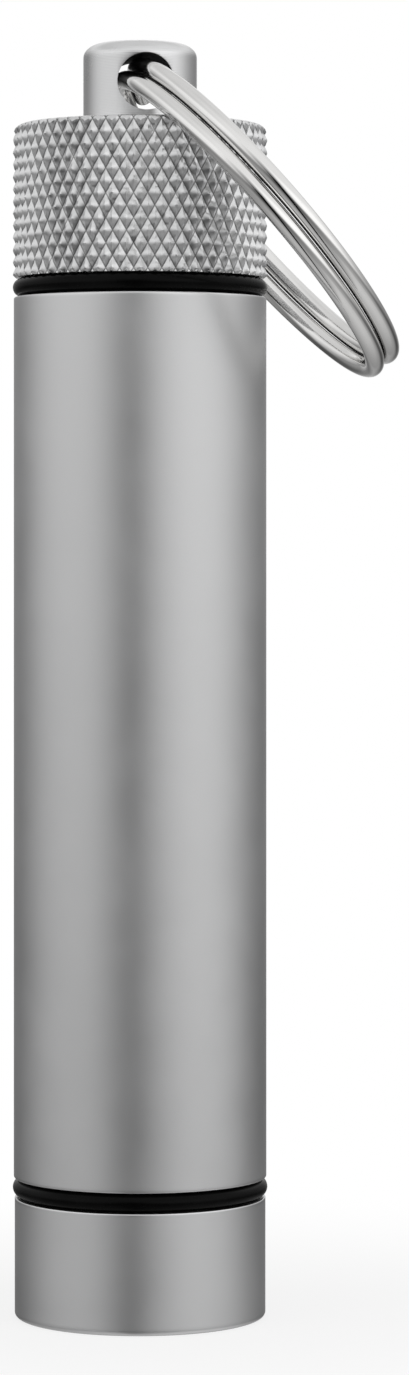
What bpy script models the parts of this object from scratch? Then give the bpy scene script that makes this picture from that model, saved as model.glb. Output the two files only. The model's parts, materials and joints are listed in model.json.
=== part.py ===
# Storage tube keychain: a turned aluminium tube with a screw cap at each end, an O-ring
# under each cap, and a split key ring through the post of the upper cap.
# Metres, +Z up. The origin is the centre of the flat base, on the tube's axis.

import math

import bmesh
import bpy
from mathutils import Matrix, Vector

# Tube
TUBE_DIAMETER = 0.0200
TUBE_LENGTH = 0.0696
TUBE_WALL = 0.0025
TUBE_EDGE_CHAMFER = 0.00015
MOUTH_CHAMFER = 0.0003

# Lower cap, plain
BOTTOM_CAP_INSET = 0.000075
BOTTOM_CAP_HEIGHT = 0.00945
BOTTOM_CAP_FLOOR = 0.0020
BOTTOM_EDGE_RADIUS = 0.0004

# Upper cap, knurled, with a post for the key ring
GRIP_HEIGHT = 0.0121
GRIP_ROOF = 0.0025
GRIP_EDGE_RADIUS = 0.00085
GRIP_LOWER_CHAMFER = 0.0002
KNURL_WIDTH = 0.00112
KNURL_HEIGHT = 0.001925
KNURL_DEPTH = 0.00042
KNURL_MARGIN = 0.0003
SHOULDER_SHARE = 0.4
POST_DIAMETER = 0.0090
POST_HEIGHT = 0.00645
POST_EDGE_RADIUS = 0.00115
HOLE_DIAMETER = 0.0045
HOLE_RISE = 0.0031

# Threaded spigots on both caps, and the threads in the tube's mouths that take them
SPIGOT_LENGTH = 0.0060
SPIGOT_WALL = 0.00105
SPIGOT_TIP_CHAMFER = 0.0004
NECK_REACH = 0.0003
THREAD_PITCH = 0.0015
THREAD_DEPTH = 0.00075
THREAD_FADE = 0.0006
THREAD_CLEARANCE = 0.0002
NECK_CLEARANCE = 0.00025
BOTTOMING_CLEARANCE = 0.0007
THREAD_CREST_SHARE = 0.12
THREAD_FLANK_SHARE = 0.28

# O-rings, squeezed between the tube's end faces and the caps
SEAL_SPACE = 0.00155
SEAL_CLEARANCE = 0.00005
SEAL_PROUD = 0.00008

# Split ring of round wire in two turns
WIRE_DIAMETER = 0.00153
KEY_RING_DIAMETER = 0.03016
TURN_GAP = 0.00007
JOG_DEGREES = 16.0
JOG_PLACE_DEGREES = 40.0
END_GAP_DEGREES = 2.0
HANG_DEGREES = 48.6
RING_SETBACK = 0.00117

# Facets and tolerances
OUTER_COLUMNS = 56
INNER_COLUMNS = 28
SEAL_COLUMNS = 40
HOLE_COLUMNS = 28
EDGE_STEPS = 3
SEAL_ARC_STEPS = 4
POINTS_PER_TURN = 40
WIRE_RESOLUTION = 2
SMOOTH_DEGREES = 35.0
MERGE_DISTANCE = 0.000001
CUT_OVERRUN = 0.002

# Sizes that follow from the ones above
TUBE_RADIUS = TUBE_DIAMETER / 2
BORE_RADIUS = TUBE_RADIUS - TUBE_WALL
GROOVE_RADIUS = BORE_RADIUS + THREAD_DEPTH
SPIGOT_RADIUS = BORE_RADIUS - THREAD_CLEARANCE
NECK_RADIUS = GROOVE_RADIUS - NECK_CLEARANCE
HOLLOW_RADIUS = SPIGOT_RADIUS - SPIGOT_WALL
BOTTOM_CAP_RADIUS = TUBE_RADIUS - BOTTOM_CAP_INSET
POST_RADIUS = POST_DIAMETER / 2

TUBE_LOW = BOTTOM_CAP_HEIGHT + SEAL_SPACE
TUBE_HIGH = TUBE_LOW + TUBE_LENGTH
GRIP_LOW = TUBE_HIGH + SEAL_SPACE
GRIP_HIGH = GRIP_LOW + GRIP_HEIGHT
POST_HIGH = GRIP_HIGH + POST_HEIGHT
HOLE_LEVEL = GRIP_HIGH + HOLE_RISE
SOCKET_DEPTH = SPIGOT_LENGTH + BOTTOMING_CLEARANCE


# A circle of new corners, the first one on the +X side
def add_ring(mesh, radius, level, columns):
    corners = []
    for column in range(columns):
        angle = math.tau * column / columns
        corners.append(mesh.verts.new((radius * math.cos(angle), radius * math.sin(angle), level)))
    return corners


# A band of faces between two rings, which may have different numbers of corners
def add_band(mesh, first, second):
    if len(first) == len(second):
        for column in range(len(first)):
            following = (column + 1) % len(first)
            mesh.faces.new((first[column], first[following], second[following], second[column]))
        return
    one, two = 0, 0
    while one < len(first) or two < len(second):
        next_one = (one + 1) / len(first)
        next_two = (two + 1) / len(second)
        corner_one = first[one % len(first)]
        corner_two = second[two % len(second)]
        if next_one < next_two or (next_one == next_two and one < len(first)):
            mesh.faces.new((corner_one, first[(one + 1) % len(first)], corner_two))
            one += 1
        else:
            mesh.faces.new((corner_one, second[(two + 1) % len(second)], corner_two))
            two += 1


# Bands through a list of rings, each to the next
def add_bands(mesh, rings):
    for first, second in zip(rings[:-1], rings[1:]):
        add_band(mesh, first, second)


# Rings round a quarter-round edge, from the flat face at one level out to the wall
def edge_rings(mesh, wall_radius, face_level, edge_radius, inward, columns):
    rings = []
    for step in range(EDGE_STEPS + 1):
        turn = math.pi / 2 * step / EDGE_STEPS
        radius = wall_radius - edge_radius * (1 - math.sin(turn))
        level = face_level + inward * edge_radius * (1 - math.cos(turn))
        rings.append(add_ring(mesh, radius, level, columns))
    return rings


# The corners of a swept sheet that lie on one of its rims, in order round the axis
def rim_of(corners, level, columns):
    rim = [None] * columns
    for corner in corners:
        if abs(corner.co.z - level) < MERGE_DISTANCE:
            turn = math.atan2(corner.co.y, corner.co.x) / math.tau
            rim[round(turn * columns) % columns] = corner
    return rim


# A right-hand thread between two levels, as one helical sheet that fades out at both rims.
# A positive depth raises ridges on the base radius and a negative one lowers them into it.
# Returns the rims at the low and at the high level.
def add_thread(mesh, base_radius, depth, low, high, ridge_level):
    crest = THREAD_PITCH * THREAD_CREST_SHARE
    flank = THREAD_PITCH * THREAD_FLANK_SHARE
    first_turn = math.floor((low - ridge_level) / THREAD_PITCH) - 2
    last_turn = math.ceil((high - ridge_level) / THREAD_PITCH) + 1
    section = []
    for turn in range(first_turn, last_turn + 1):
        middle = ridge_level + turn * THREAD_PITCH
        for offset, rise in ((-crest / 2 - flank, 0), (-crest / 2, 1), (crest / 2, 1), (crest / 2 + flank, 0)):
            section.append(mesh.verts.new((base_radius + depth * rise, 0, middle + offset)))
    lines = [mesh.edges.new(pair) for pair in zip(section[:-1], section[1:])]
    before = set(mesh.verts) - set(section)
    bmesh.ops.spin(
        mesh, geom=section + lines, cent=(0, 0, 0), axis=(0, 0, 1), angle=math.tau,
        dvec=(0, 0, THREAD_PITCH / INNER_COLUMNS), steps=INNER_COLUMNS, use_merge=False,
    )
    sheet = [corner for corner in mesh.verts if corner not in before]
    for corner in sheet:
        radius = math.hypot(corner.co.x, corner.co.y)
        rise = (radius - base_radius) / depth
        level = min(max(corner.co.z, low), high)
        fade = min((level - low) / THREAD_FADE, (high - level) / THREAD_FADE, 1)
        scale = (base_radius + depth * rise * fade) / radius
        corner.co = (corner.co.x * scale, corner.co.y * scale, level)
    bmesh.ops.remove_doubles(mesh, verts=sheet, dist=MERGE_DISTANCE)
    sheet = [corner for corner in mesh.verts if corner not in before]
    return rim_of(sheet, low, INNER_COLUMNS), rim_of(sheet, high, INNER_COLUMNS)


# The farthest that the knurling may reach out at a level, with the grip's two edges broken
def grip_limit(level):
    from_low = level - GRIP_LOW
    to_high = GRIP_HIGH - level
    limit = TUBE_RADIUS - max(GRIP_LOWER_CHAMFER - from_low, 0)
    if to_high < GRIP_EDGE_RADIUS:
        rise = GRIP_EDGE_RADIUS - to_high
        limit = TUBE_RADIUS - GRIP_EDGE_RADIUS + math.sqrt(GRIP_EDGE_RADIUS ** 2 - rise ** 2)
    return limit


# Diamond knurling: pyramids whose tips and groove crossings alternate on a half-spaced lattice.
# Returns the ring at the low and at the high edge of the grip.
def add_knurl(mesh):
    columns = 2 * round(math.tau * TUBE_RADIUS / KNURL_WIDTH)
    band_low = GRIP_LOW + KNURL_MARGIN
    band_high = GRIP_HIGH - KNURL_MARGIN
    rows = round((band_high - band_low) / (KNURL_HEIGHT / 2))
    lattice = []
    for row in range(rows + 1):
        level = band_low + (band_high - band_low) * row / rows
        line = []
        for column in range(columns):
            is_tip = (row + column) % 2 == 0
            radius = min(TUBE_RADIUS if is_tip else TUBE_RADIUS - KNURL_DEPTH, grip_limit(level))
            angle = math.tau * column / columns
            line.append(mesh.verts.new((radius * math.cos(angle), radius * math.sin(angle), level)))
        lattice.append(line)
    for row in range(rows):
        for column in range(columns):
            following = (column + 1) % columns
            low_left, low_right = lattice[row][column], lattice[row][following]
            high_left, high_right = lattice[row + 1][column], lattice[row + 1][following]
            if (row + column) % 2 == 0:
                mesh.faces.new((low_left, low_right, high_left))
                mesh.faces.new((low_right, high_right, high_left))
            else:
                mesh.faces.new((low_left, low_right, high_right))
                mesh.faces.new((low_left, high_right, high_left))
    shoulder_level = GRIP_HIGH - KNURL_MARGIN * SHOULDER_SHARE
    low_edge = add_ring(mesh, TUBE_RADIUS - GRIP_LOWER_CHAMFER - KNURL_DEPTH / 2, GRIP_LOW, columns)
    shoulder = add_ring(mesh, grip_limit(shoulder_level), shoulder_level, columns)
    high_edge = add_ring(mesh, TUBE_RADIUS - GRIP_EDGE_RADIUS, GRIP_HIGH, columns)
    add_band(mesh, low_edge, lattice[0])
    add_bands(mesh, [lattice[-1], shoulder, high_edge])
    return low_edge, high_edge


# The neck and threaded spigot of a cap, from the cap's seal face to the closed end of its hollow.
# Direction is +1 for a spigot that points up and -1 for one that points down.
def add_spigot(mesh, seal_face, direction, hollow_end):
    tube_face = seal_face + direction * SEAL_SPACE
    thread_start = tube_face + direction * NECK_REACH
    tip = tube_face + direction * SPIGOT_LENGTH
    thread_end = tip - direction * SPIGOT_TIP_CHAMFER
    levels = sorted((thread_start, thread_end))
    rims = add_thread(mesh, SPIGOT_RADIUS, THREAD_DEPTH, levels[0], levels[1], thread_start)
    near_rim, far_rim = rims if direction > 0 else rims[::-1]
    neck_root = add_ring(mesh, NECK_RADIUS, seal_face, INNER_COLUMNS)
    neck_end = add_ring(mesh, NECK_RADIUS, thread_start, INNER_COLUMNS)
    tip_edge = add_ring(mesh, SPIGOT_RADIUS - SPIGOT_TIP_CHAMFER, tip, INNER_COLUMNS)
    mouth = add_ring(mesh, HOLLOW_RADIUS, tip, INNER_COLUMNS)
    closed_end = add_ring(mesh, HOLLOW_RADIUS, hollow_end, INNER_COLUMNS)
    add_bands(mesh, [neck_root, neck_end, near_rim])
    add_bands(mesh, [far_rim, tip_edge, mouth, closed_end])
    mesh.faces.new(closed_end)
    return neck_root


# A closed mesh becomes a named object with smooth round faces
def finish_piece(name, mesh, material):
    bmesh.ops.recalc_face_normals(mesh, faces=mesh.faces)
    data = bpy.data.meshes.new(name)
    mesh.to_mesh(data)
    mesh.free()
    data.shade_smooth()
    data.set_sharp_from_angle(angle=math.radians(SMOOTH_DEGREES))
    piece = bpy.data.objects.new(name, data)
    piece.data.materials.append(material)
    bpy.context.scene.collection.objects.link(piece)
    return piece


def make_material(name, colour, metallic, roughness):
    material = bpy.data.materials.new(name)
    material.use_nodes = True
    shader = material.node_tree.nodes["Principled BSDF"]
    shader.inputs["Base Color"].default_value = (*colour, 1)
    shader.inputs["Metallic"].default_value = metallic
    shader.inputs["Roughness"].default_value = roughness
    return material


# The plain tube, bored through, with a threaded socket in each mouth
def make_tube_body(material):
    mesh = bmesh.new()
    outside = [
        add_ring(mesh, TUBE_RADIUS - TUBE_EDGE_CHAMFER, TUBE_LOW, OUTER_COLUMNS),
        add_ring(mesh, TUBE_RADIUS, TUBE_LOW + TUBE_EDGE_CHAMFER, OUTER_COLUMNS),
        add_ring(mesh, TUBE_RADIUS, TUBE_HIGH - TUBE_EDGE_CHAMFER, OUTER_COLUMNS),
        add_ring(mesh, TUBE_RADIUS - TUBE_EDGE_CHAMFER, TUBE_HIGH, OUTER_COLUMNS),
    ]
    ridge_offset = THREAD_PITCH / 2
    low_mouth = add_ring(mesh, GROOVE_RADIUS + MOUTH_CHAMFER, TUBE_LOW, INNER_COLUMNS)
    low_start, low_end = add_thread(
        mesh, GROOVE_RADIUS, -THREAD_DEPTH, TUBE_LOW + MOUTH_CHAMFER, TUBE_LOW + SOCKET_DEPTH,
        TUBE_LOW + NECK_REACH + ridge_offset,
    )
    high_mouth = add_ring(mesh, GROOVE_RADIUS + MOUTH_CHAMFER, TUBE_HIGH, INNER_COLUMNS)
    high_end, high_start = add_thread(
        mesh, GROOVE_RADIUS, -THREAD_DEPTH, TUBE_HIGH - SOCKET_DEPTH, TUBE_HIGH - MOUTH_CHAMFER,
        TUBE_HIGH - NECK_REACH - ridge_offset,
    )
    bore_low = add_ring(mesh, BORE_RADIUS, TUBE_LOW + SOCKET_DEPTH, INNER_COLUMNS)
    bore_high = add_ring(mesh, BORE_RADIUS, TUBE_HIGH - SOCKET_DEPTH, INNER_COLUMNS)
    add_bands(mesh, outside + [high_mouth, high_start])
    add_bands(mesh, [high_end, bore_high, bore_low, low_end])
    add_bands(mesh, [low_start, low_mouth, outside[0]])
    return finish_piece("tube_body", mesh, material)


# The plain lower cap, flat underneath, with a rounded lower edge
def make_bottom_cap(material):
    mesh = bmesh.new()
    rings = edge_rings(mesh, BOTTOM_CAP_RADIUS, 0, BOTTOM_EDGE_RADIUS, 1, OUTER_COLUMNS)
    mesh.faces.new(rings[0])
    rings.append(add_ring(mesh, BOTTOM_CAP_RADIUS, BOTTOM_CAP_HEIGHT - TUBE_EDGE_CHAMFER, OUTER_COLUMNS))
    rings.append(add_ring(mesh, BOTTOM_CAP_RADIUS - TUBE_EDGE_CHAMFER, BOTTOM_CAP_HEIGHT, OUTER_COLUMNS))
    rings.append(add_spigot(mesh, BOTTOM_CAP_HEIGHT, 1, BOTTOM_CAP_FLOOR))
    add_bands(mesh, rings)
    return finish_piece("bottom_cap", mesh, material)


# The knurled upper cap with its post, and the cross hole that the key ring goes through
def make_top_cap(material):
    mesh = bmesh.new()
    post = edge_rings(mesh, POST_RADIUS, POST_HIGH, POST_EDGE_RADIUS, -1, OUTER_COLUMNS)
    mesh.faces.new(post[0])
    post.append(add_ring(mesh, POST_RADIUS, GRIP_HIGH, OUTER_COLUMNS))
    low_edge, high_edge = add_knurl(mesh)
    add_bands(mesh, post + [high_edge])
    neck_root = add_spigot(mesh, GRIP_LOW, -1, GRIP_HIGH - GRIP_ROOF)
    add_band(mesh, low_edge, neck_root)
    cap = finish_piece("top_cap", mesh, material)

    hole = bmesh.new()
    turn = Matrix.Translation((0, 0, HOLE_LEVEL)) @ Matrix.Rotation(math.pi / 2, 4, "X")
    bmesh.ops.create_cone(
        hole, cap_ends=True, segments=HOLE_COLUMNS, radius1=HOLE_DIAMETER / 2,
        radius2=HOLE_DIAMETER / 2, depth=POST_DIAMETER + CUT_OVERRUN, matrix=turn,
    )
    cutter = finish_piece("hole_cutter", hole, material)
    cutter.hide_render = True
    cutter.display_type = "WIRE"
    cut = cap.modifiers.new("cross_hole", "BOOLEAN")
    cut.operation = "DIFFERENCE"
    cut.solver = "EXACT"
    cut.object = cutter
    return cap


# A squeezed O-ring: flat where it meets the faces, round inside and outside
def make_o_ring(name, low_face, material):
    half_height = SEAL_SPACE / 2 - SEAL_CLEARANCE
    inner = NECK_RADIUS + SEAL_CLEARANCE + half_height
    outer = TUBE_RADIUS + SEAL_PROUD - half_height
    middle_level = low_face + SEAL_SPACE / 2
    mesh = bmesh.new()
    section = []
    for centre, start in ((outer, -math.pi / 2), (inner, math.pi / 2)):
        for step in range(SEAL_ARC_STEPS + 1):
            angle = start + math.pi * step / SEAL_ARC_STEPS
            radius = centre + half_height * math.cos(angle)
            section.append(mesh.verts.new((radius, 0, middle_level + half_height * math.sin(angle))))
    lines = [mesh.edges.new((section[index - 1], section[index])) for index in range(len(section))]
    bmesh.ops.spin(
        mesh, geom=section + lines, cent=(0, 0, 0), axis=(0, 0, 1), angle=math.tau,
        steps=SEAL_COLUMNS, use_merge=False,
    )
    bmesh.ops.remove_doubles(mesh, verts=mesh.verts, dist=MERGE_DISTANCE)
    return finish_piece(name, mesh, material)


# The key ring: one round wire in two turns, with a jog where it changes from one to the other.
# Its origin is the middle of the cross hole, which it swings about.
def make_split_ring(material):
    mean_radius = KEY_RING_DIAMETER / 2
    half_rise = (WIRE_DIAMETER + TURN_GAP) / 2
    jog_start = JOG_PLACE_DEGREES + 360 - JOG_DEGREES / 2
    first = JOG_PLACE_DEGREES + JOG_DEGREES / 2 + END_GAP_DEGREES
    last = JOG_PLACE_DEGREES + 720 - JOG_DEGREES / 2 - END_GAP_DEGREES
    steps = round(POINTS_PER_TURN * (last - first) / 360)
    points = []
    for step in range(steps + 1):
        degrees = first + (last - first) * step / steps
        across = min(max((degrees - jog_start) / JOG_DEGREES, 0), 1)
        climb = across * across * (3 - 2 * across)
        angle = math.radians(degrees)
        points.append(Vector((
            mean_radius * (1 - math.cos(angle)) - RING_SETBACK,
            mean_radius * math.sin(angle),
            half_rise * (2 * climb - 1),
        )))
    curve = bpy.data.curves.new("split_ring", "CURVE")
    curve.dimensions = "3D"
    curve.bevel_depth = WIRE_DIAMETER / 2
    curve.bevel_resolution = WIRE_RESOLUTION
    curve.use_fill_caps = True
    wire = curve.splines.new("POLY")
    wire.points.add(len(points) - 1)
    for point, place in zip(wire.points, points):
        point.co = (*place, 1)
    curve.materials.append(material)
    piece = bpy.data.objects.new("split_ring", curve)
    bpy.context.scene.collection.objects.link(piece)
    piece.location = (0, 0, HOLE_LEVEL)
    piece.rotation_euler = (0, math.radians(HANG_DEGREES), 0)
    return piece


def build():
    for old in list(bpy.data.objects):
        bpy.data.objects.remove(old, do_unlink=True)
    aluminium = make_material("satin_aluminium", (0.62, 0.62, 0.62), 1.0, 0.38)
    rubber = make_material("black_rubber", (0.012, 0.012, 0.012), 0.0, 0.45)
    nickel = make_material("polished_nickel", (0.80, 0.79, 0.77), 1.0, 0.10)
    make_tube_body(aluminium)
    make_bottom_cap(aluminium)
    make_top_cap(aluminium)
    make_o_ring("lower_o_ring", BOTTOM_CAP_HEIGHT, rubber)
    make_o_ring("upper_o_ring", TUBE_HIGH, rubber)
    make_split_ring(nickel)


build()
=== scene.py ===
# Storage tube keychain: satin aluminium tube and screw caps, rubber O-rings, nickel split ring
import json
import math

import bmesh
import bpy
from mathutils import Matrix, Vector


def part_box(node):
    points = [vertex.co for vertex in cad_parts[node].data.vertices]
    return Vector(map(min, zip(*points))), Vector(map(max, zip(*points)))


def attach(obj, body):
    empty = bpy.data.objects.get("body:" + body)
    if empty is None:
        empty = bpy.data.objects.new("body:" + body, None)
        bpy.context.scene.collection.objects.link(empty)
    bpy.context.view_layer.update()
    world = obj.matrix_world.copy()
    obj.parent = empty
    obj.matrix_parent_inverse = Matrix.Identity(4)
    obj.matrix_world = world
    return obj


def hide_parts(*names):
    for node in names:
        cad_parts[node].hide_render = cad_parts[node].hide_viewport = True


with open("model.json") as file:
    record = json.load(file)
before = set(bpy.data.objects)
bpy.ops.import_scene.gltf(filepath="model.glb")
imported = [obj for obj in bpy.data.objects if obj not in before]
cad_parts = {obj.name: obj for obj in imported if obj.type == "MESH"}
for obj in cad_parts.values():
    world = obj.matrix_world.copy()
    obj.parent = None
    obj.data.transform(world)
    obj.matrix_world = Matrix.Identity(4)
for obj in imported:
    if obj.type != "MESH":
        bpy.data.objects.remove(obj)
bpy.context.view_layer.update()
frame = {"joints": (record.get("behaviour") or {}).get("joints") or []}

scene = bpy.context.scene
scene.view_settings.view_transform = "Standard"
mergeGap = 1e-6  # corners closer than this are one corner
surfaceGap = 0.00002  # what is this near to a surface lies on it
sealGap = 0.00005  # between an O-ring and the faces that squeeze it


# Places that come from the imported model
tubeLow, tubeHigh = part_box("tube_body")
topCapLow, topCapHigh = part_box("top_cap")
bottomCapLow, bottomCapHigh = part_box("bottom_cap")
upperSealLow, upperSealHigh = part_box("upper_o_ring")
lowerSealLow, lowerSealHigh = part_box("lower_o_ring")
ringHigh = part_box("split_ring")[1]
tubeRadius = tubeHigh.x
swingJoint = next(joint for joint in frame["joints"] if joint["name"] == "key_ring_swing")
holePlace = Vector(swingJoint["pos_m"])

# The thread that both caps and both mouths share
thread = {
    "pitch": 0.0015,
    "depth": 0.00075,
    "crest": 0.00018,
    "flank": 0.00042,
    "fade": 0.0006,  # run-out at each end
    "reach": 0.0003,  # from the tube's face to the first ridge
}
columns = 160  # facets round a turned piece


# Modelling helpers

def deselectAll():
    if bpy.context.object and bpy.context.object.mode != "OBJECT":
        bpy.ops.object.mode_set(mode="OBJECT")
    bpy.ops.object.select_all(action="DESELECT")


def makeActive(piece):
    deselectAll()
    piece.select_set(True)
    bpy.context.view_layer.objects.active = piece


# One corner at the origin, in edit mode, ready to be moved and extruded
def startCorner():
    bpy.ops.mesh.primitive_plane_add(size=0.001)
    if bpy.context.object.mode != "EDIT":
        bpy.ops.object.mode_set(mode="EDIT")
    bpy.ops.mesh.select_mode(type="VERT")
    bpy.ops.mesh.merge(type="CENTER")


# Draws one open outline of (radius, height) points by extruding a corner
def drawOutline(points):
    startCorner()
    here = Vector((points[0][0], 0, points[0][1]))
    bpy.ops.transform.translate(value=here)
    for radius, height in points[1:]:
        there = Vector((radius, 0, height))
        bpy.ops.mesh.extrude_region_move(TRANSFORM_OT_translate={"value": there - here})
        here = there


# Blender's tools leave faces in another order each run, and a cut's corners shift with it by a hair
def sortFaces(piece):
    mesh = bmesh.from_edit_mesh(piece.data)
    mesh.verts.index_update()
    corners = len(mesh.verts)
    mesh.faces.sort(key=lambda face: face.verts[0].index * corners + face.verts[1].index)
    mesh.faces.index_update()
    bmesh.update_edit_mesh(piece.data)


# Turns outlines about the tube's axis; a closed outline repeats its first point
def turnPiece(name, outlines):
    deselectAll()
    for outline in outlines:
        drawOutline(outline)
    piece = bpy.context.object
    piece.name = name
    bpy.ops.mesh.select_all(action="SELECT")
    bpy.ops.mesh.remove_doubles(threshold=mergeGap)
    bpy.ops.mesh.spin(steps=columns, angle=math.tau, center=(0, 0, 0), axis=(0, 0, 1))
    bpy.ops.mesh.select_all(action="SELECT")
    bpy.ops.mesh.remove_doubles(threshold=mergeGap)
    bpy.ops.mesh.normals_make_consistent(inside=False)
    sortFaces(piece)
    bpy.ops.object.mode_set(mode="OBJECT")
    return piece


# Points of a rounded corner in an outline
def roundCorner(centreRadius, centreHeight, radius, startDegrees, endDegrees, steps=5, widen=1.0):
    points = []
    for step in range(steps + 1):
        angle = math.radians(startDegrees + (endDegrees - startDegrees) * step / steps)
        across = centreRadius + radius * widen * math.cos(angle)
        points.append((across, centreHeight + radius * math.sin(angle)))
    return points


# A helical sheet between two heights, whose ridges stand out from the base radius by depth
def turnThread(baseRadius, depth, low, high, ridgeHeight):
    pitch, crest, flank = thread["pitch"], thread["crest"], thread["flank"]
    firstTurn = math.floor((low - ridgeHeight) / pitch) - 2  # so that it reaches past both heights
    lastTurn = math.ceil((high - ridgeHeight) / pitch) + 1
    points = []
    for turn in range(firstTurn, lastTurn + 1):
        middle = ridgeHeight + turn * pitch
        points.append((baseRadius, middle - crest / 2 - flank))
        points.append((baseRadius + depth, middle - crest / 2))
        points.append((baseRadius + depth, middle + crest / 2))
        points.append((baseRadius, middle + crest / 2 + flank))
    deselectAll()
    drawOutline(points)
    bpy.ops.object.mode_set(mode="OBJECT")
    sheet = bpy.context.object
    screw = sheet.modifiers.new("helix", "SCREW")
    screw.axis = "Z"
    screw.angle = math.tau
    screw.screw_offset = pitch
    screw.steps = columns
    screw.render_steps = columns
    screw.use_merge_vertices = False
    bpy.ops.object.modifier_apply(modifier=screw.name)
    for corner in sheet.data.vertices:  # flatten the ends and let the ridges run out
        radius = math.hypot(corner.co.x, corner.co.y)
        height = min(max(corner.co.z, low), high)
        share = min((height - low) / thread["fade"], (high - height) / thread["fade"], 1)
        scale = (baseRadius + (radius - baseRadius) * share) / radius
        corner.co = (corner.co.x * scale, corner.co.y * scale, height)
    return sheet


# Joins thread sheets to a turned piece along rims that lie on each other
def joinThreads(piece, sheets):
    deselectAll()
    for sheet in sheets:
        sheet.select_set(True)
    piece.select_set(True)
    bpy.context.view_layer.objects.active = piece
    bpy.ops.object.join()
    bpy.ops.object.mode_set(mode="EDIT")
    bpy.ops.mesh.select_all(action="SELECT")
    bpy.ops.mesh.remove_doubles(threshold=mergeGap)
    bpy.ops.mesh.dissolve_degenerate(threshold=mergeGap)
    bpy.ops.mesh.normals_make_consistent(inside=False)
    bpy.ops.object.mode_set(mode="OBJECT")


def cutAway(piece, cutter):
    makeActive(piece)
    cut = piece.modifiers.new("cut", "BOOLEAN")
    cut.operation = "DIFFERENCE"
    cut.solver = "EXACT"
    cut.object = cutter
    bpy.ops.object.modifier_apply(modifier=cut.name)
    bpy.data.objects.remove(cutter, do_unlink=True)


# Selects corners, edges or faces by a test, in edit mode, and leaves all others unselected
def selectWhere(piece, kind, test):
    bpy.ops.mesh.select_mode(type=kind)
    bpy.ops.mesh.select_all(action="DESELECT")
    mesh = bmesh.from_edit_mesh(piece.data)
    elements = {"VERT": mesh.verts, "EDGE": mesh.edges, "FACE": mesh.faces}[kind]
    for element in elements:
        if test(element):
            element.select_set(True)
    bmesh.update_edit_mesh(piece.data)


def finishPiece(piece, body, node, material, smoothBelow=30):
    makeActive(piece)
    bpy.ops.object.transform_apply(location=True, rotation=True, scale=True)
    bpy.ops.object.shade_smooth_by_angle(angle=math.radians(smoothBelow))
    piece.data.materials.clear()
    piece.data.materials.append(material)
    piece.select_set(False)
    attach(piece, body)
    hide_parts(node)


# Materials

# Wraps a socket, so that sums on it add Math nodes to the material it belongs to
class Value:
    def __init__(self, tree, socket=None):
        self.tree = tree
        self.socket = socket

    def node(self, kind, settings, values, result=0):
        made = self.tree.nodes.new(kind)
        for name, setting in settings.items():
            if name == "stops":
                fillRamp(made.color_ramp, setting)
            else:
                setattr(made, name, setting)
        for name, value in values.items():
            if isinstance(value, Value):
                self.tree.links.new(value.socket, made.inputs[name])
            else:
                made.inputs[name].default_value = value
        return Value(self.tree, made.outputs[result])

    def sum(self, operation, first, second=0.0):
        return self.node("ShaderNodeMath", {"operation": operation}, {0: first, 1: second})

    def __add__(self, other):
        return self.sum("ADD", self, other)

    def __radd__(self, other):
        return self.sum("ADD", other, self)

    def __sub__(self, other):
        return self.sum("SUBTRACT", self, other)

    def __rsub__(self, other):
        return self.sum("SUBTRACT", other, self)

    def __mul__(self, other):
        return self.sum("MULTIPLY", self, other)

    def __rmul__(self, other):
        return self.sum("MULTIPLY", other, self)

    def __truediv__(self, other):
        return self.sum("DIVIDE", self, other)

    def __pow__(self, other):
        return self.sum("POWER", self, other)

    def __abs__(self):
        return self.sum("ABSOLUTE", self)

    # 0 below the first value, 1 above the second, smooth between; the two may be in either order
    def between(self, start, end):
        settings = {"interpolation_type": "SMOOTHSTEP"}
        return self.node("ShaderNodeMapRange", settings, {"Value": self, "From Min": start, "From Max": end})


def fillRamp(ramp, stops):
    while len(ramp.elements) < len(stops):
        ramp.elements.new(1.0)
    for element, (place, level) in zip(ramp.elements, stops):
        element.position = place
        element.color = (level, level, level, 1)


def newMaterial(name, fixed):
    material = bpy.data.materials.new(name)
    material.use_nodes = True
    tree = material.node_tree
    shader = tree.nodes["Principled BSDF"]
    for socket, value in fixed.items():
        shader.inputs[socket].default_value = value
    return material, Value(tree), shader


def plug(shader, **values):
    for name, value in values.items():
        value.tree.links.new(value.socket, shader.inputs[name.replace("_", " ")])


# Goes from the first colour to the second; the first may be the result of another mix
def mixColours(maker, factor, first, second):
    if not isinstance(first, Value):
        first = (*first, 1)
    settings = {"data_type": "RGBA"}
    return maker.node("ShaderNodeMix", settings, {"Factor": factor, 6: first, 7: (*second, 1)}, 2)


def addNoise(maker, place, scale, detail, roughness=0.5):
    values = {"Vector": place, "Scale": scale, "Detail": detail, "Roughness": roughness}
    return maker.node("ShaderNodeTexNoise", {}, values)


def plugHeight(maker, shader, height):
    values = {"Height": height, "Distance": 1.0, "Strength": 1.0}
    plug(shader, Normal=maker.node("ShaderNodeBump", {}, values))


aluminium = {
    "dark": (0.700, 0.702, 0.705),
    "light": (0.800, 0.802, 0.806),
    "roughness": 0.40,
    "grain": 0.00007,  # size of the blasted texture's dimples
    "grainHeight": 0.0000030,
    "grainTone": 0.5,
    "cloud": 0.006,  # size of the faint patches in the finish
    "cloudTone": 0.7,
    "cloudRough": 0.10,
    "worn": 0.0004,  # how far the rubbed edges reach
    "wornTone": 0.10,
    "wornPolish": 0.08,
    "wornPlace": 0.3,  # share of a rounded edge's height, from its end
    "turnedEdge": 0.0002,  # over which the turned finish starts, inside
    "turnedBase": (0.0001, 0.00005),  # and under the base, by height
    "turnedPitch": 0.00012,
    "turnedHeight": 0.0000015,
    "turnedPolish": 0.12,
}

# Painted shade: a dark, non-metal patch on the upper half of the drilled hole's wall
holeShade = {
    "colour": (0.02, 0.02, 0.02),
    "offWall": (0.00006, 0.00001),  # where it starts and where it is full
    "offPost": (0.00002, -0.0003),
    "offMiddle": (-0.0004, 0.0012),
    "rough": 0.5,
}
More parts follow.
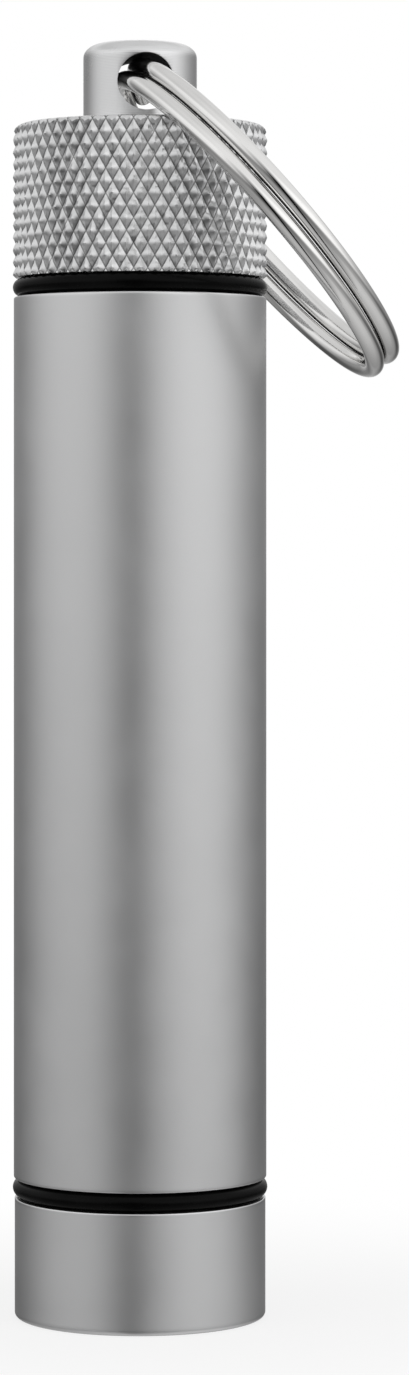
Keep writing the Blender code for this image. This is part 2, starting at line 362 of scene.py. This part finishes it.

# Painted shade lines in the knurls' grooves, and rubbed tips, by shares of the way from groove to tip
knurlShadeAndWear = {
    "grooveShade": (0.16, 0.03),
    "grooveShadeColour": (0.05, 0.05, 0.05),
    "grooveShadeShare": 0.65,
    "grooveShadeTone": 0.9,
    "rubbed": (0.6, 0.9),
    "rubbedTone": 0.3,
    "gripTone": 0.15,  # the grip is darker and more polished than the rest
    "gripPolish": 0.09,
    "fadeBelow": 0.0001,
    "fadeInwards": 0.0003,
}


# Where the painted shade lies on the cross hole's wall
def holeShadeMask(x, z, radius, hole):
    fromHole = ((x - hole["place"].x) ** 2 + (z - hole["place"].z) ** 2) ** 0.5
    wall = [hole["radius"] + gap for gap in holeShade["offWall"]]
    post = [hole["depth"] + gap for gap in holeShade["offPost"]]
    paintedShade = fromHole.between(*wall) * radius.between(*post)
    return paintedShade * (z - hole["place"].z).between(*holeShade["offMiddle"])


# The knurled grip, the painted shade lines in its grooves, and its rubbed tips
def knurlMasks(maker, x, y, z, radius, knurl):
    around = maker.node("ShaderNodeMath", {"operation": "ARCTAN2"}, {0: x, 1: y})
    column = around * (knurl["columns"] / math.tau)
    row = (z - knurl["middle"]) / knurl["rowHeight"]
    rise = abs((column + row).sum("FLOORED_MODULO", column + row, 2.0) - 1)
    fall = abs((column - row).sum("FLOORED_MODULO", column - row, 2.0) - 1)
    fromGroove = rise.sum("MINIMUM", rise, fall)
    grip = z.between(knurl["low"] - knurlShadeAndWear["fadeBelow"], knurl["low"])
    grip = grip * radius.between(knurl["inner"], knurl["inner"] + knurlShadeAndWear["fadeInwards"])
    # painted shade along the floors of the grooves
    grooveShade = fromGroove.between(*knurlShadeAndWear["grooveShade"]) * grip
    rubbed = fromGroove.between(*knurlShadeAndWear["rubbed"]) * grip
    return grip, grooveShade, rubbed


# Blasted and anodised outside, bright rubbed edges at the given heights, turned lines inside, and painted
# shade in the cross hole and in the knurls' grooves
def aluminiumMaterial(name, edges, insideRadius, hole=None, knurl=None, lighter=0.0):
    material, maker, shader = newMaterial(name, {"Metallic": 1.0})
    place = maker.node("ShaderNodeTexCoord", {}, {}, 3)
    x, y, z = [maker.node("ShaderNodeSeparateXYZ", {}, {0: place}, axis) for axis in range(3)]
    radius = (x * x + y * y) ** 0.5
    inside = radius.between(insideRadius + aluminium["turnedEdge"], insideRadius)
    turnedFace = inside.sum("MAXIMUM", inside, z.between(*aluminium["turnedBase"]))
    cloud = addNoise(maker, place, 1 / aluminium["cloud"], 3.0)
    grain = addNoise(maker, place, 1 / aluminium["grain"], 2.0, 0.6)
    worn = 0.0
    for edge in edges:
        worn = worn + abs(z - edge).between(aluminium["worn"], 0.0)
    tone = 0.5 + lighter + (cloud - 0.5) * aluminium["cloudTone"]
    tone = tone + (grain - 0.5) * aluminium["grainTone"] + worn * aluminium["wornTone"]
    rough = aluminium["roughness"] + (cloud - 0.5) * aluminium["cloudRough"]
    rough = rough - worn * aluminium["wornPolish"] - turnedFace * aluminium["turnedPolish"]
    if knurl:
        grip, grooveShade, rubbed = knurlMasks(maker, x, y, z, radius, knurl)
        tone = tone - grip * knurlShadeAndWear["gripTone"]
        tone = tone - grooveShade * knurlShadeAndWear["grooveShadeTone"] + rubbed * knurlShadeAndWear["rubbedTone"]
        rough = rough - grip * knurlShadeAndWear["gripPolish"]
    colour = mixColours(maker, tone, aluminium["dark"], aluminium["light"])
    if hole:
        # painted shade on the upper half of the cross hole's wall
        paintedShade = holeShadeMask(x, z, radius, hole)
        colour = mixColours(maker, paintedShade, colour, holeShade["colour"])
        rough = rough + paintedShade * holeShade["rough"]
        plug(shader, Metallic=1.0 - paintedShade)
    if knurl:
        # painted shade lines in the knurls' grooves
        colour = mixColours(maker, grooveShade * knurlShadeAndWear["grooveShadeShare"], colour, knurlShadeAndWear["grooveShadeColour"])
    plug(shader, Base_Color=colour, Roughness=rough)
    lines = (z + radius) * (math.tau / aluminium["turnedPitch"])
    turned = maker.node("ShaderNodeMath", {"operation": "SINE"}, {0: lines})
    height = grain * (1 - turnedFace) * aluminium["grainHeight"]
    plugHeight(maker, shader, height + turned * turnedFace * aluminium["turnedHeight"])
    return material


rubber = {
    "dark": (0.001, 0.001, 0.001),
    "light": (0.004, 0.004, 0.004),
    "specular": 0.06,
    "roughness": 0.22,
    "grain": 0.00025,
    "grainRough": 0.2,
    "grainHeight": 0.000006,
    "dust": 0.004,  # size of the faint dusty patches
    "dusty": (0.45, 0.75),  # the part of their noise that shows
    "dustRough": 0.1,
}


def rubberMaterial():
    fixed = {"Metallic": 0.0, "Specular IOR Level": rubber["specular"]}
    material, maker, shader = newMaterial("blackRubber", fixed)
    place = maker.node("ShaderNodeTexCoord", {}, {}, 3)
    grain = addNoise(maker, place, 1 / rubber["grain"], 4.0)
    dust = addNoise(maker, place, 1 / rubber["dust"], 2.0).between(*rubber["dusty"])
    tone = grain * 0.5 + dust * 0.5
    rough = rubber["roughness"] + (grain - 0.5) * rubber["grainRough"] + dust * rubber["dustRough"]
    plug(shader, Base_Color=mixColours(maker, tone, rubber["dark"], rubber["light"]), Roughness=rough)
    plugHeight(maker, shader, grain * rubber["grainHeight"])
    return material


nickel = {
    "dark": (0.78, 0.775, 0.765),
    "light": (0.88, 0.875, 0.865),
    "roughness": 0.07,
    "cloud": 0.0025,  # size of the faint patches in the plating
    "cloudRough": 0.05,
    "cloudHeight": 0.000004,
    "scuff": 1 / 9000,  # size of the fine scuffs
    "scuffed": (0.62, 0.72),  # the part of their noise that shows
    "scuffTone": 0.2,
    "scuffRough": 0.12,
    "scuffHeight": 0.0000004,
    # Painted shade where the two turns touch: its colour, share, roughness and size
    "paintedShade": (0.01, 0.01, 0.01),
    "paintedShadeShare": 0.85,
    "paintedShadeRough": 0.35,
    "paintedShadeWidth": 0.00011,  # of the painted shade line where the turns touch
    "paintedShadeFull": 0.4,  # share of that width that is darkest
    "paintedShadeReach": (0.0006, 0.0004),  # from the line to where it ends on the wire
}


def nickelMaterial():
    material, maker, shader = newMaterial("polishedNickel", {"Metallic": 1.0})
    place = maker.node("ShaderNodeTexCoord", {}, {}, 3)
    cloud = addNoise(maker, place, 1 / nickel["cloud"], 3.0)
    scuff = addNoise(maker, place, 1 / nickel["scuff"], 2.0).between(*nickel["scuffed"])
    fromHole = maker.node("ShaderNodeVectorMath", {"operation": "SUBTRACT"}, {0: place, 1: holePlace})

    def fromHoleAlong(axis):
        values = {0: fromHole, 1: hangTurn @ Vector(axis)}
        return maker.node("ShaderNodeVectorMath", {"operation": "DOT_PRODUCT"}, values, 1)

    meanRadius = ringHigh.y - splitRing["wire"] / 2
    outwards = fromHoleAlong((1, 0, 0)) - (meanRadius - splitRing["setback"])
    sideways = fromHoleAlong((0, 1, 0))
    upwards = fromHoleAlong((0, 0, 1))
    fromMean = abs((outwards * outwards + sideways * sideways) ** 0.5 - meanRadius)
    # painted shade: a dark line along the wire where the two turns touch
    width = nickel["paintedShadeWidth"]
    paintedShade = abs(upwards).between(width, width * nickel["paintedShadeFull"])
    paintedShade = paintedShade * fromMean.between(*nickel["paintedShadeReach"])
    colour = mixColours(maker, cloud - scuff * nickel["scuffTone"], nickel["dark"], nickel["light"])
    colour = mixColours(maker, paintedShade * nickel["paintedShadeShare"], colour, nickel["paintedShade"])
    rough = nickel["roughness"] + (cloud - 0.5) * nickel["cloudRough"]
    rough = rough + scuff * nickel["scuffRough"] + paintedShade * nickel["paintedShadeRough"]
    plug(shader, Base_Color=colour, Roughness=rough)
    plugHeight(maker, shader, cloud * nickel["cloudHeight"] + scuff * nickel["scuffHeight"])
    return material


# Tube

tube = {
    "wall": 0.0025,
    "edge": 0.00015,  # rounding of the outer edges
    "mouth": 0.0003,  # chamfer of the mouths
    "socket": 0.0067,  # depth of the thread's room in each mouth
}
boreRadius = tubeRadius - tube["wall"]
grooveRadius = boreRadius + thread["depth"]


def makeTube():
    low, high = tubeLow.z, tubeHigh.z
    edge, mouth, socket = tube["edge"], tube["mouth"], tube["socket"]
    outside = [(grooveRadius, high - mouth), (grooveRadius + mouth, high)]
    outside += roundCorner(tubeRadius - edge, high - edge, edge, 90, 0)
    outside += [(tubeRadius, high - edge * 2), (tubeRadius, low + edge * 2)]  # for even shading
    outside += roundCorner(tubeRadius - edge, low + edge, edge, 0, -90)
    outside += [(grooveRadius + mouth, low), (grooveRadius, low + mouth)]
    inside = [
        (grooveRadius, low + socket), (boreRadius, low + socket),
        (boreRadius, high - socket), (grooveRadius, high - socket),
    ]
    piece = turnPiece("tubeBody", [outside, inside])
    depth = -thread["depth"]  # the tube's ridges point inwards
    ridge = thread["reach"] + thread["pitch"] / 2
    sheets = [
        turnThread(grooveRadius, depth, low + mouth, low + socket, low + ridge),
        turnThread(grooveRadius, depth, high - socket, high - mouth, high - ridge),
    ]
    joinThreads(piece, sheets)
    material = aluminiumMaterial("satinAluminiumTube", (low, high), grooveRadius + mouth)
    finishPiece(piece, "tube", "tube_body", material)
    print("tube made:", len(piece.data.polygons), "faces")


# The part that both caps have below their seal face: neck, threaded spigot and hollow

spigot = {
    "gap": 0.0002,  # between the caps' thread and the tube's
    "neckGap": 0.00025,
    "wall": 0.00105,
    "tip": 0.0004,  # chamfer of the spigot's end
    "lean": 0.1,  # the normal of a side's face rises less than this
}
spigotRadius = boreRadius - spigot["gap"]
neckRadius = grooveRadius - spigot["neckGap"]
hollowRadius = spigotRadius - spigot["wall"]


# The outline goes from the seal face to the middle of the hollow's closed end
def spigotOutline(sealFace, tubeFace, tip, closedEnd):
    way = 1 if tip > sealFace else -1
    start = tubeFace + way * thread["reach"]
    end = tip - way * spigot["tip"]
    return [
        (neckRadius, sealFace), (neckRadius, start), (spigotRadius, start), (spigotRadius, end),
        (spigotRadius - spigot["tip"], tip), (hollowRadius, tip), (hollowRadius, closedEnd), (0, closedEnd),
    ], start, end


def addSpigotThread(piece, start, end):
    low, high = min(start, end), max(start, end)
    makeActive(piece)
    bpy.ops.object.mode_set(mode="EDIT")

    def isSpigotSide(face):
        middle = face.calc_center_median()
        fromSide = abs(math.hypot(middle.x, middle.y) - spigotRadius)
        return abs(face.normal.z) < spigot["lean"] and fromSide < surfaceGap and low < middle.z < high

    selectWhere(piece, "FACE", isSpigotSide)
    bpy.ops.mesh.delete(type="ONLY_FACE")
    bpy.ops.object.mode_set(mode="OBJECT")
    joinThreads(piece, [turnThread(spigotRadius, thread["depth"], low, high, start)])


# Lower cap

bottomCap = {
    "inset": 0.000075,  # its wall stands this far inside the tube's
    "floor": 0.0020,
    "edge": 0.0004,  # rounding of the lower edge
    "rim": 0.0001,  # rounding of the upper one
    "lighter": 0.5,  # than the tube, in shares of the finish's range
}


def makeBottomCap():
    base = bottomCapLow.z
    radius = tubeRadius - bottomCap["inset"]
    edge, rim = bottomCap["edge"], bottomCap["rim"]
    sealFace = lowerSealLow.z - sealGap
    outline, start, end = spigotOutline(sealFace, tubeLow.z, bottomCapHigh.z, base + bottomCap["floor"])
    outside = [(0, base), (radius - edge * 2, base)]
    outside += roundCorner(radius - edge, base + edge, edge, -90, 0, steps=8)
    outside += [(radius, base + edge * 1.5), (radius, sealFace - rim * 2)]  # for even shading
    outside += roundCorner(radius - rim, sealFace - rim, rim, 0, 90)
    piece = turnPiece("bottomCap", [outside + outline])
    addSpigotThread(piece, start, end)
    edges = (base + edge * aluminium["wornPlace"], sealFace)
    material = aluminiumMaterial("satinAluminiumBottom", edges, neckRadius, lighter=bottomCap["lighter"])
    finishPiece(piece, "bottom_cap", "bottom_cap", material)
    print("lower cap made:", len(piece.data.polygons), "faces")


# Upper cap

topCap = {
    "gripHeight": 0.0121,
    "roof": 0.0025,
    "shoulder": 0.00085,  # rounding of the grip's upper edge
    "chamfer": 0.0002,  # of its lower edge
    "knurlsAround": 56,
    "knurlHeight": 0.001925,
    "knurlDepth": 0.00033,  # below the tube's wall, before the knurls are softened
    "tip": 0.00017,  # above it, before the same
    "proud": 0.00007,  # the blank stands this far above it, and the tips end there
    "knurlSkin": 0.0015,  # the knurls' finish reaches this far inwards
    "knurlCuts": 2,  # of each knurl's edges
    "soften": {"factor": 0.5, "repeat": 1},
    "uneven": {"offset": 0.000025, "uniform": 0.3, "normal": 0.6, "seed": 2},  # of the knurls' corners
    "collar": 1.2,  # outer size of the knurls' cutter against its inner size
    "postRadius": 0.0045,
    "postEdge": 0.00115,
    "postCrown": 1.4,  # the rounding reaches this much further over the top
    "holeRadius": 0.00225,
    "holeFacets": 96,
    "holeEdge": 0.00007,  # rounding of the hole's mouths
    "holeEdgeSteps": 4,
    "holeMerge": 0.00001,  # the cut leaves two corners there where one belongs
}


# A collar whose inner side is the negative of the diamond knurling
def makeKnurlCutter(gripLow, gripHigh):
    around = 2 * topCap["knurlsAround"]
    rowHeight = topCap["knurlHeight"] / 2
    rows = 2 * math.ceil((gripHigh - gripLow) / rowHeight / 2) + 2
    middle = (gripLow + gripHigh) / 2
    grooveBottom = tubeRadius - topCap["knurlDepth"]
    tip = tubeRadius + topCap["tip"]
    deselectAll()
    bpy.ops.mesh.primitive_cylinder_add(
        vertices=around, radius=grooveBottom, depth=rows * rowHeight, end_fill_type="NOTHING",
        location=(0, 0, middle),
    )
    bpy.ops.object.transform_apply(location=True)
    cutter = bpy.context.object
    bpy.ops.object.mode_set(mode="EDIT")

    def isUpright(edge):
        return abs(edge.verts[0].co.z - edge.verts[1].co.z) > rowHeight

    def isTip(corner):
        column = round(math.atan2(corner.co.x, corner.co.y) / math.tau * around)
        row = round((corner.co.z - middle) / rowHeight)
        return (row + column) % 2 == 0

    selectWhere(cutter, "EDGE", isUpright)
    bpy.ops.mesh.subdivide(number_cuts=rows - 1)
    selectWhere(cutter, "VERT", isTip)
    grow = tip / grooveBottom
    bpy.ops.transform.resize(value=(grow, grow, 1), center_override=(0, 0, 0))
    bpy.ops.mesh.select_all(action="SELECT")
    bpy.ops.mesh.quads_convert_to_tris(quad_method="SHORTEST_DIAGONAL")
    bpy.ops.mesh.subdivide(number_cuts=topCap["knurlCuts"])
    bpy.ops.mesh.vertices_smooth(**topCap["soften"])
    bpy.ops.transform.vertex_random(**topCap["uneven"])
    bpy.ops.mesh.select_mode(type="EDGE")
    bpy.ops.mesh.select_all(action="DESELECT")
    bpy.ops.mesh.select_non_manifold()  # the two rims, which the collar's outer side joins
    bpy.ops.mesh.extrude_edges_move()
    thick = topCap["collar"]
    bpy.ops.transform.resize(value=(thick, thick, 1), center_override=(0, 0, 0))
    bpy.ops.mesh.bridge_edge_loops()
    bpy.ops.mesh.select_all(action="SELECT")
    bpy.ops.mesh.normals_make_consistent(inside=False)
    sortFaces(cutter)
    bpy.ops.object.mode_set(mode="OBJECT")
    return cutter


def makeHoleCutter():
    deselectAll()
    bpy.ops.mesh.primitive_cylinder_add(
        vertices=topCap["holeFacets"], radius=topCap["holeRadius"], depth=topCap["postRadius"] * 3,
        location=holePlace, rotation=(math.pi / 2, 0, 0),
    )
    bpy.ops.object.transform_apply(location=True, rotation=True)
    return bpy.context.object


def isMouthCorner(corner):
    fromHole = math.hypot(corner.co.x - holePlace.x, corner.co.z - holePlace.z)
    fromAxis = math.hypot(corner.co.x, corner.co.y)
    isOnHole = abs(fromHole - topCap["holeRadius"]) < surfaceGap
    return isOnHole and abs(fromAxis - topCap["postRadius"]) < surfaceGap


def isMouthEdge(edge):
    return isMouthCorner(edge.verts[0]) and isMouthCorner(edge.verts[1])


# Breaks the edge where the cross hole comes out of the post
def breakHoleEdge(piece):
    makeActive(piece)
    bpy.ops.object.mode_set(mode="EDIT")
    selectWhere(piece, "VERT", isMouthCorner)
    bpy.ops.mesh.remove_doubles(threshold=topCap["holeMerge"])
    selectWhere(piece, "EDGE", isMouthEdge)
    steps = topCap["holeEdgeSteps"]
    bpy.ops.mesh.bevel(offset=topCap["holeEdge"], segments=steps, profile=0.5, clamp_overlap=True)
    bpy.ops.object.mode_set(mode="OBJECT")


def makeTopCap():
    gripLow = upperSealHigh.z + sealGap
    gripHigh = gripLow + topCap["gripHeight"]
    shoulder, chamfer = topCap["shoulder"], topCap["chamfer"]
    postRadius, edge = topCap["postRadius"], topCap["postEdge"]
    outside = [(0, topCapHigh.z)]
    crown = topCap["postCrown"]
    outside += roundCorner(postRadius - edge * crown, topCapHigh.z - edge, edge, 90, 0, steps=10, widen=crown)
    outside += [(postRadius, topCapHigh.z - edge * 1.2), (postRadius, gripHigh)]  # for even shading
    gripRadius = tubeRadius + topCap["proud"]
    outside += roundCorner(gripRadius - shoulder, gripHigh - shoulder, shoulder, 90, 0, steps=8)
    outside += [(gripRadius, gripLow + chamfer), (gripRadius - chamfer, gripLow)]
    outline, start, end = spigotOutline(gripLow, tubeHigh.z, topCapLow.z, gripHigh - topCap["roof"])
    piece = turnPiece("topCap", [outside + outline])
    cutAway(piece, makeKnurlCutter(gripLow, gripHigh))
    cutAway(piece, makeHoleCutter())
    breakHoleEdge(piece)
    addSpigotThread(piece, start, end)
    edges = (gripLow, gripHigh, topCapHigh.z - edge * aluminium["wornPlace"])
    hole = {"place": holePlace, "radius": topCap["holeRadius"], "depth": postRadius}
    knurl = {
        "columns": 2 * topCap["knurlsAround"], "rowHeight": topCap["knurlHeight"] / 2,
        "middle": (gripLow + gripHigh) / 2, "low": gripLow, "inner": tubeRadius - topCap["knurlSkin"],
    }
    material = aluminiumMaterial("satinAluminiumTop", edges, neckRadius, hole, knurl)
    finishPiece(piece, "top_cap", "top_cap", material, smoothBelow=40)
    print("upper cap made:", len(piece.data.polygons), "faces")


# O-rings

def makeSeal(name, body, node, low, high, material):
    halfHeight = (high.z - low.z) / 2
    middle = (high.z + low.z) / 2
    inner = neckRadius + sealGap + halfHeight
    outer = high.x - halfHeight
    outline = roundCorner(outer, middle, halfHeight, -90, 90, steps=16)
    outline += roundCorner(inner, middle, halfHeight, 90, 270, steps=16)
    outline.append(outline[0])
    piece = turnPiece(name, [outline])
    finishPiece(piece, body, node, material)
    print(name, "made:", len(piece.data.polygons), "faces")


# Split ring: one wire in two turns, with a jog behind the cap

splitRing = {
    "wire": 0.00153,
    "gap": 0.00007,  # between the turns
    "hang": 48.6,  # degrees below level
    "setback": 0.00117,  # of the wire's middle from the hole's axis, away from the ring
    "jog": 16.0,  # degrees along the ring
    "jogPlace": 40.0,
    "endGap": 2.0,
    "pointsPerTurn": 220,
    "smoothness": 10,  # of the wire's section, as Blender counts it
}
hangTurn = Matrix.Rotation(math.radians(splitRing["hang"]), 3, "Y")


def makeSplitRing():
    wireRadius = splitRing["wire"] / 2
    meanRadius = ringHigh.y - wireRadius
    halfRise = wireRadius + splitRing["gap"] / 2
    jogStart = splitRing["jogPlace"] + 360 - splitRing["jog"] / 2
    first = splitRing["jogPlace"] + splitRing["jog"] / 2 + splitRing["endGap"]
    last = splitRing["jogPlace"] + 720 - splitRing["jog"] / 2 - splitRing["endGap"]
    steps = round(splitRing["pointsPerTurn"] * (last - first) / 360)
    path = bpy.data.curves.new("splitRing", "CURVE")
    path.dimensions = "3D"
    path.bevel_depth = wireRadius
    path.bevel_resolution = splitRing["smoothness"]
    path.use_fill_caps = True
    wire = path.splines.new("POLY")
    wire.points.add(steps)
    for step, point in enumerate(wire.points):
        degrees = first + (last - first) * step / steps
        across = min(max((degrees - jogStart) / splitRing["jog"], 0), 1)
        climb = across * across * (3 - 2 * across)
        angle = math.radians(degrees)
        along = meanRadius * (1 - math.cos(angle)) - splitRing["setback"]
        point.co = (along, meanRadius * math.sin(angle), halfRise * (2 * climb - 1), 1)
    piece = bpy.data.objects.new("splitRing", path)
    scene.collection.objects.link(piece)
    piece.matrix_world = Matrix.Translation(holePlace) @ hangTurn.to_4x4()
    makeActive(piece)
    bpy.ops.object.convert(target="MESH")
    piece = bpy.context.object
    bpy.ops.object.mode_set(mode="EDIT")
    bpy.ops.mesh.select_all(action="SELECT")
    bpy.ops.mesh.remove_doubles(threshold=mergeGap)
    bpy.ops.mesh.normals_make_consistent(inside=False)
    bpy.ops.object.mode_set(mode="OBJECT")
    finishPiece(piece, "key_ring", "split_ring", nickelMaterial(), smoothBelow=40)
    print("split ring made:", len(piece.data.polygons), "faces")


# Camera: level, with the tube upright in the frame, and the horizon above the middle

camera = {
    "azimuth": -7.5,  # degrees, turned towards the hole's left side
    "distance": 0.358,
    "height": 0.0614,
    "aside": 0.00510,  # the tube stands left of the frame's middle
    "lens": 118.3,
    "sensor": 36.0,
    "drop": -0.1073,  # the frame's middle is this far below the horizon, in shares of its height
    "sees": (0.01, 20.0),
}


def cameraSide():
    angle = math.radians(camera["azimuth"])
    back = Vector((math.sin(angle), -math.cos(angle), 0))
    right = Vector((math.cos(angle), math.sin(angle), 0))
    return back, right


def addCamera():
    back, right = cameraSide()
    data = bpy.data.cameras.new("camera")
    data.sensor_width = camera["sensor"]
    data.lens = camera["lens"]
    data.shift_y = camera["drop"]
    data.clip_start, data.clip_end = camera["sees"]
    holder = bpy.data.objects.new("camera", data)
    scene.collection.objects.link(holder)
    holder.location = back * camera["distance"] + right * camera["aside"] + Vector((0, 0, camera["height"]))
    holder.rotation_euler = (math.pi / 2, 0, math.radians(camera["azimuth"]))
    scene.camera = holder


# Lights: two tall soft panels left and right of the camera, and one overhead

panels = [
    {"name": "leftPanel", "turn": -60.0, "distance": 0.60, "height": 0.35, "size": (0.5, 0.7), "glow": 0.5},
    {"name": "rightPanel", "turn": 50.0, "distance": 0.60, "height": 0.35, "size": (0.5, 0.7), "glow": 0.6},
    {"name": "topPanel", "turn": 0.0, "distance": 0.05, "height": 0.70, "size": (0.6, 0.6), "glow": 0.8},
]
panelAim = Vector((0, 0, 0.06))


def addPanel(panel):
    back, right = cameraSide()
    turn = math.radians(panel["turn"])
    data = bpy.data.lights.new(panel["name"], "AREA")
    data.shape = "RECTANGLE"
    data.size, data.size_y = panel["size"]
    data.energy = panel["glow"] * math.pi * data.size * data.size_y
    lamp = bpy.data.objects.new(panel["name"], data)
    scene.collection.objects.link(lamp)
    aside = back * math.cos(turn) + right * math.sin(turn)
    lamp.location = aside * panel["distance"] + Vector((0, 0, panel["height"]))
    lamp.rotation_euler = (panelAim - lamp.location).to_track_quat("-Z", "Y").to_euler()
    lamp.visible_glossy = False  # metal sees the room instead


# What polished and satin metal sees round the object: brightness by degrees from the camera
room = {
    "turns": (
        (-180, 0.90), (-170, 0.40), (-160, 0.20), (-130, 0.17), (-111, 0.36), (-96, 0.52), (-80, 0.60),
        (-50, 0.62), (-40, 0.58), (-30, 0.48), (-21, 0.29), (-12, 0.16), (0, 0.16), (8, 0.36), (15, 0.57),
        (25, 0.70), (40, 0.78), (65, 0.76), (82, 0.68), (95, 0.52), (110, 0.33), (130, 0.20), (155, 0.16),
        (168, 0.35), (180, 0.90),
    ),
    "panels": (  # how much of these is seen, by degrees of height
        (-90, 0.0), (-30, 0.0), (-12, 0.46), (-6, 0.605), (1, 1.25), (6, 1.58), (12, 1.40), (20, 1.05),
        (34, 0.0), (90, 0.0),
    ),
    "backLeft": (  # the rest of the room, by degrees of height
        (-90, 0.50), (-60, 0.46), (-45, 0.38), (-26, 0.28), (-14, 0.0), (9, 0.0), (20, 0.35), (32, 0.85),
        (45, 0.66), (62, 0.72), (90, 0.70),
    ),
    "frontRight": (
        (-90, 0.66), (-60, 0.66), (-40, 0.60), (-26, 0.34), (-13, 0.0), (9, 0.0), (20, 0.42), (32, 0.90),
        (60, 0.90), (90, 0.70),
    ),
    "restTurnsOver": (-0.8, 0.7),  # from back left to front right, by the direction's two parts added
    "gap": (-16.0, -11.0, -1.0, 4.0),  # degrees of the dark gap where the camera stands
    "gapTop": (10.0, 3.0),
    "gapDepth": 0.97,
    "shade": (-48.0, -8.0, 16.0, 58.0),  # a softer shade round the gap, low down
    "shadeTop": (2.0, -7.0),
    "shadeDepth": 0.36,
    "plain": 0.55,  # what everything else is lit by
}


def addWorld():
    back, right = cameraSide()
    world = bpy.data.worlds.new("room")
    world.use_nodes = True
    scene.world = world
    tree = world.node_tree
    maker = Value(tree)
    place = maker.node("ShaderNodeTexCoord", {}, {}, 0)
    front = maker.node("ShaderNodeVectorMath", {"operation": "DOT_PRODUCT"}, {0: place, 1: back}, 1)
    side = maker.node("ShaderNodeVectorMath", {"operation": "DOT_PRODUCT"}, {0: place, 1: right}, 1)
    height = maker.node("ShaderNodeSeparateXYZ", {}, {0: place}, 2)
    turn = maker.node("ShaderNodeMath", {"operation": "ARCTAN2"}, {0: side, 1: front}) / math.tau + 0.5
    height = maker.node("ShaderNodeMath", {"operation": "ARCSINE"}, {0: height}) / math.pi + 0.5

    def byDegrees(name, whole, place):
        stops = [(degrees / whole + 0.5, level) for degrees, level in room[name]]
        return maker.node("ShaderNodeValToRGB", {"stops": stops}, {0: place})

    def insideOf(name):
        start, full, lastFull, end = [degrees / 360 + 0.5 for degrees in room[name]]
        top = [degrees / 180 + 0.5 for degrees in room[name + "Top"]]
        return turn.between(start, full) * turn.between(end, lastFull) * height.between(*top)

    backLeft = byDegrees("backLeft", 180, height)
    frontRight = byDegrees("frontRight", 180, height)
    level = byDegrees("turns", 360, turn) * byDegrees("panels", 180, height)
    turnedOver = (front + side).between(*room["restTurnsOver"])
    level = level + backLeft + (frontRight - backLeft) * turnedOver
    level = level * (1 - insideOf("shade") * room["shadeDepth"])
    level = level * (1 - insideOf("gap") * room["gapDepth"])
    isCamera = maker.node("ShaderNodeLightPath", {}, {}, "Is Camera Ray")
    isGlossy = maker.node("ShaderNodeLightPath", {}, {}, "Is Glossy Ray")
    isThrough = maker.node("ShaderNodeLightPath", {}, {}, "Is Transmission Ray")
    seen = room["plain"] + (level - room["plain"]) * (isGlossy + isThrough)
    grey = isCamera + (1 - isCamera) * seen
    settings = {"data_type": "RGBA", "clamp_factor": False}  # the panels are brighter than white
    colour = maker.node("ShaderNodeMix", settings, {"Factor": grey, 6: (0, 0, 0, 1), 7: (1, 1, 1, 1)}, 2)
    background = tree.nodes["Background"]
    tree.links.new(colour.socket, background.inputs["Color"])
    background.inputs["Strength"].default_value = 1.0


floorLook = {
    "size": 6.0,
    "colour": (0.9, 0.9, 0.9, 1),
    "roughness": 0.9,
    "white": 0.75,  # share of plain white that the camera sees beside the object, over the shadow
    "allWhite": (0.012, 0.07),  # distances over which no shadow is left
}


def addFloor():
    deselectAll()
    bpy.ops.mesh.primitive_plane_add(size=floorLook["size"], location=(0, 0, 0))
    floor = bpy.context.object
    floor.name = "floor"
    fixed = {"Base Color": floorLook["colour"], "Roughness": floorLook["roughness"]}
    material, maker, shader = newMaterial("paleFloor", fixed)
    tree = maker.tree
    isCamera = maker.node("ShaderNodeLightPath", {}, {}, "Is Camera Ray")
    place = maker.node("ShaderNodeTexCoord", {}, {}, 3)
    distance = maker.node("ShaderNodeVectorMath", {"operation": "LENGTH"}, {0: place}, 1)
    white = floorLook["white"] + distance.between(*floorLook["allWhite"]) * (1 - floorLook["white"])
    glow = maker.node("ShaderNodeEmission", {}, {"Color": (1, 1, 1, 1), "Strength": 1.0})
    mix = tree.nodes.new("ShaderNodeMixShader")
    tree.links.new((isCamera * white).socket, mix.inputs[0])
    tree.links.new(shader.outputs[0], mix.inputs[1])
    tree.links.new(glow.socket, mix.inputs[2])
    tree.links.new(mix.outputs[0], tree.nodes["Material Output"].inputs["Surface"])
    floor.data.materials.append(material)
    floor.visible_glossy = False
    floor.select_set(False)


addCamera()
makeTube()
makeBottomCap()
makeTopCap()
rubberFinish = rubberMaterial()
makeSeal("upperORing", "upper_seal", "upper_o_ring", upperSealLow, upperSealHigh, rubberFinish)
makeSeal("lowerORing", "lower_seal", "lower_o_ring", lowerSealLow, lowerSealHigh, rubberFinish)
makeSplitRing()
for panel in panels:
    addPanel(panel)
addWorld()
addFloor()
print("stage made")
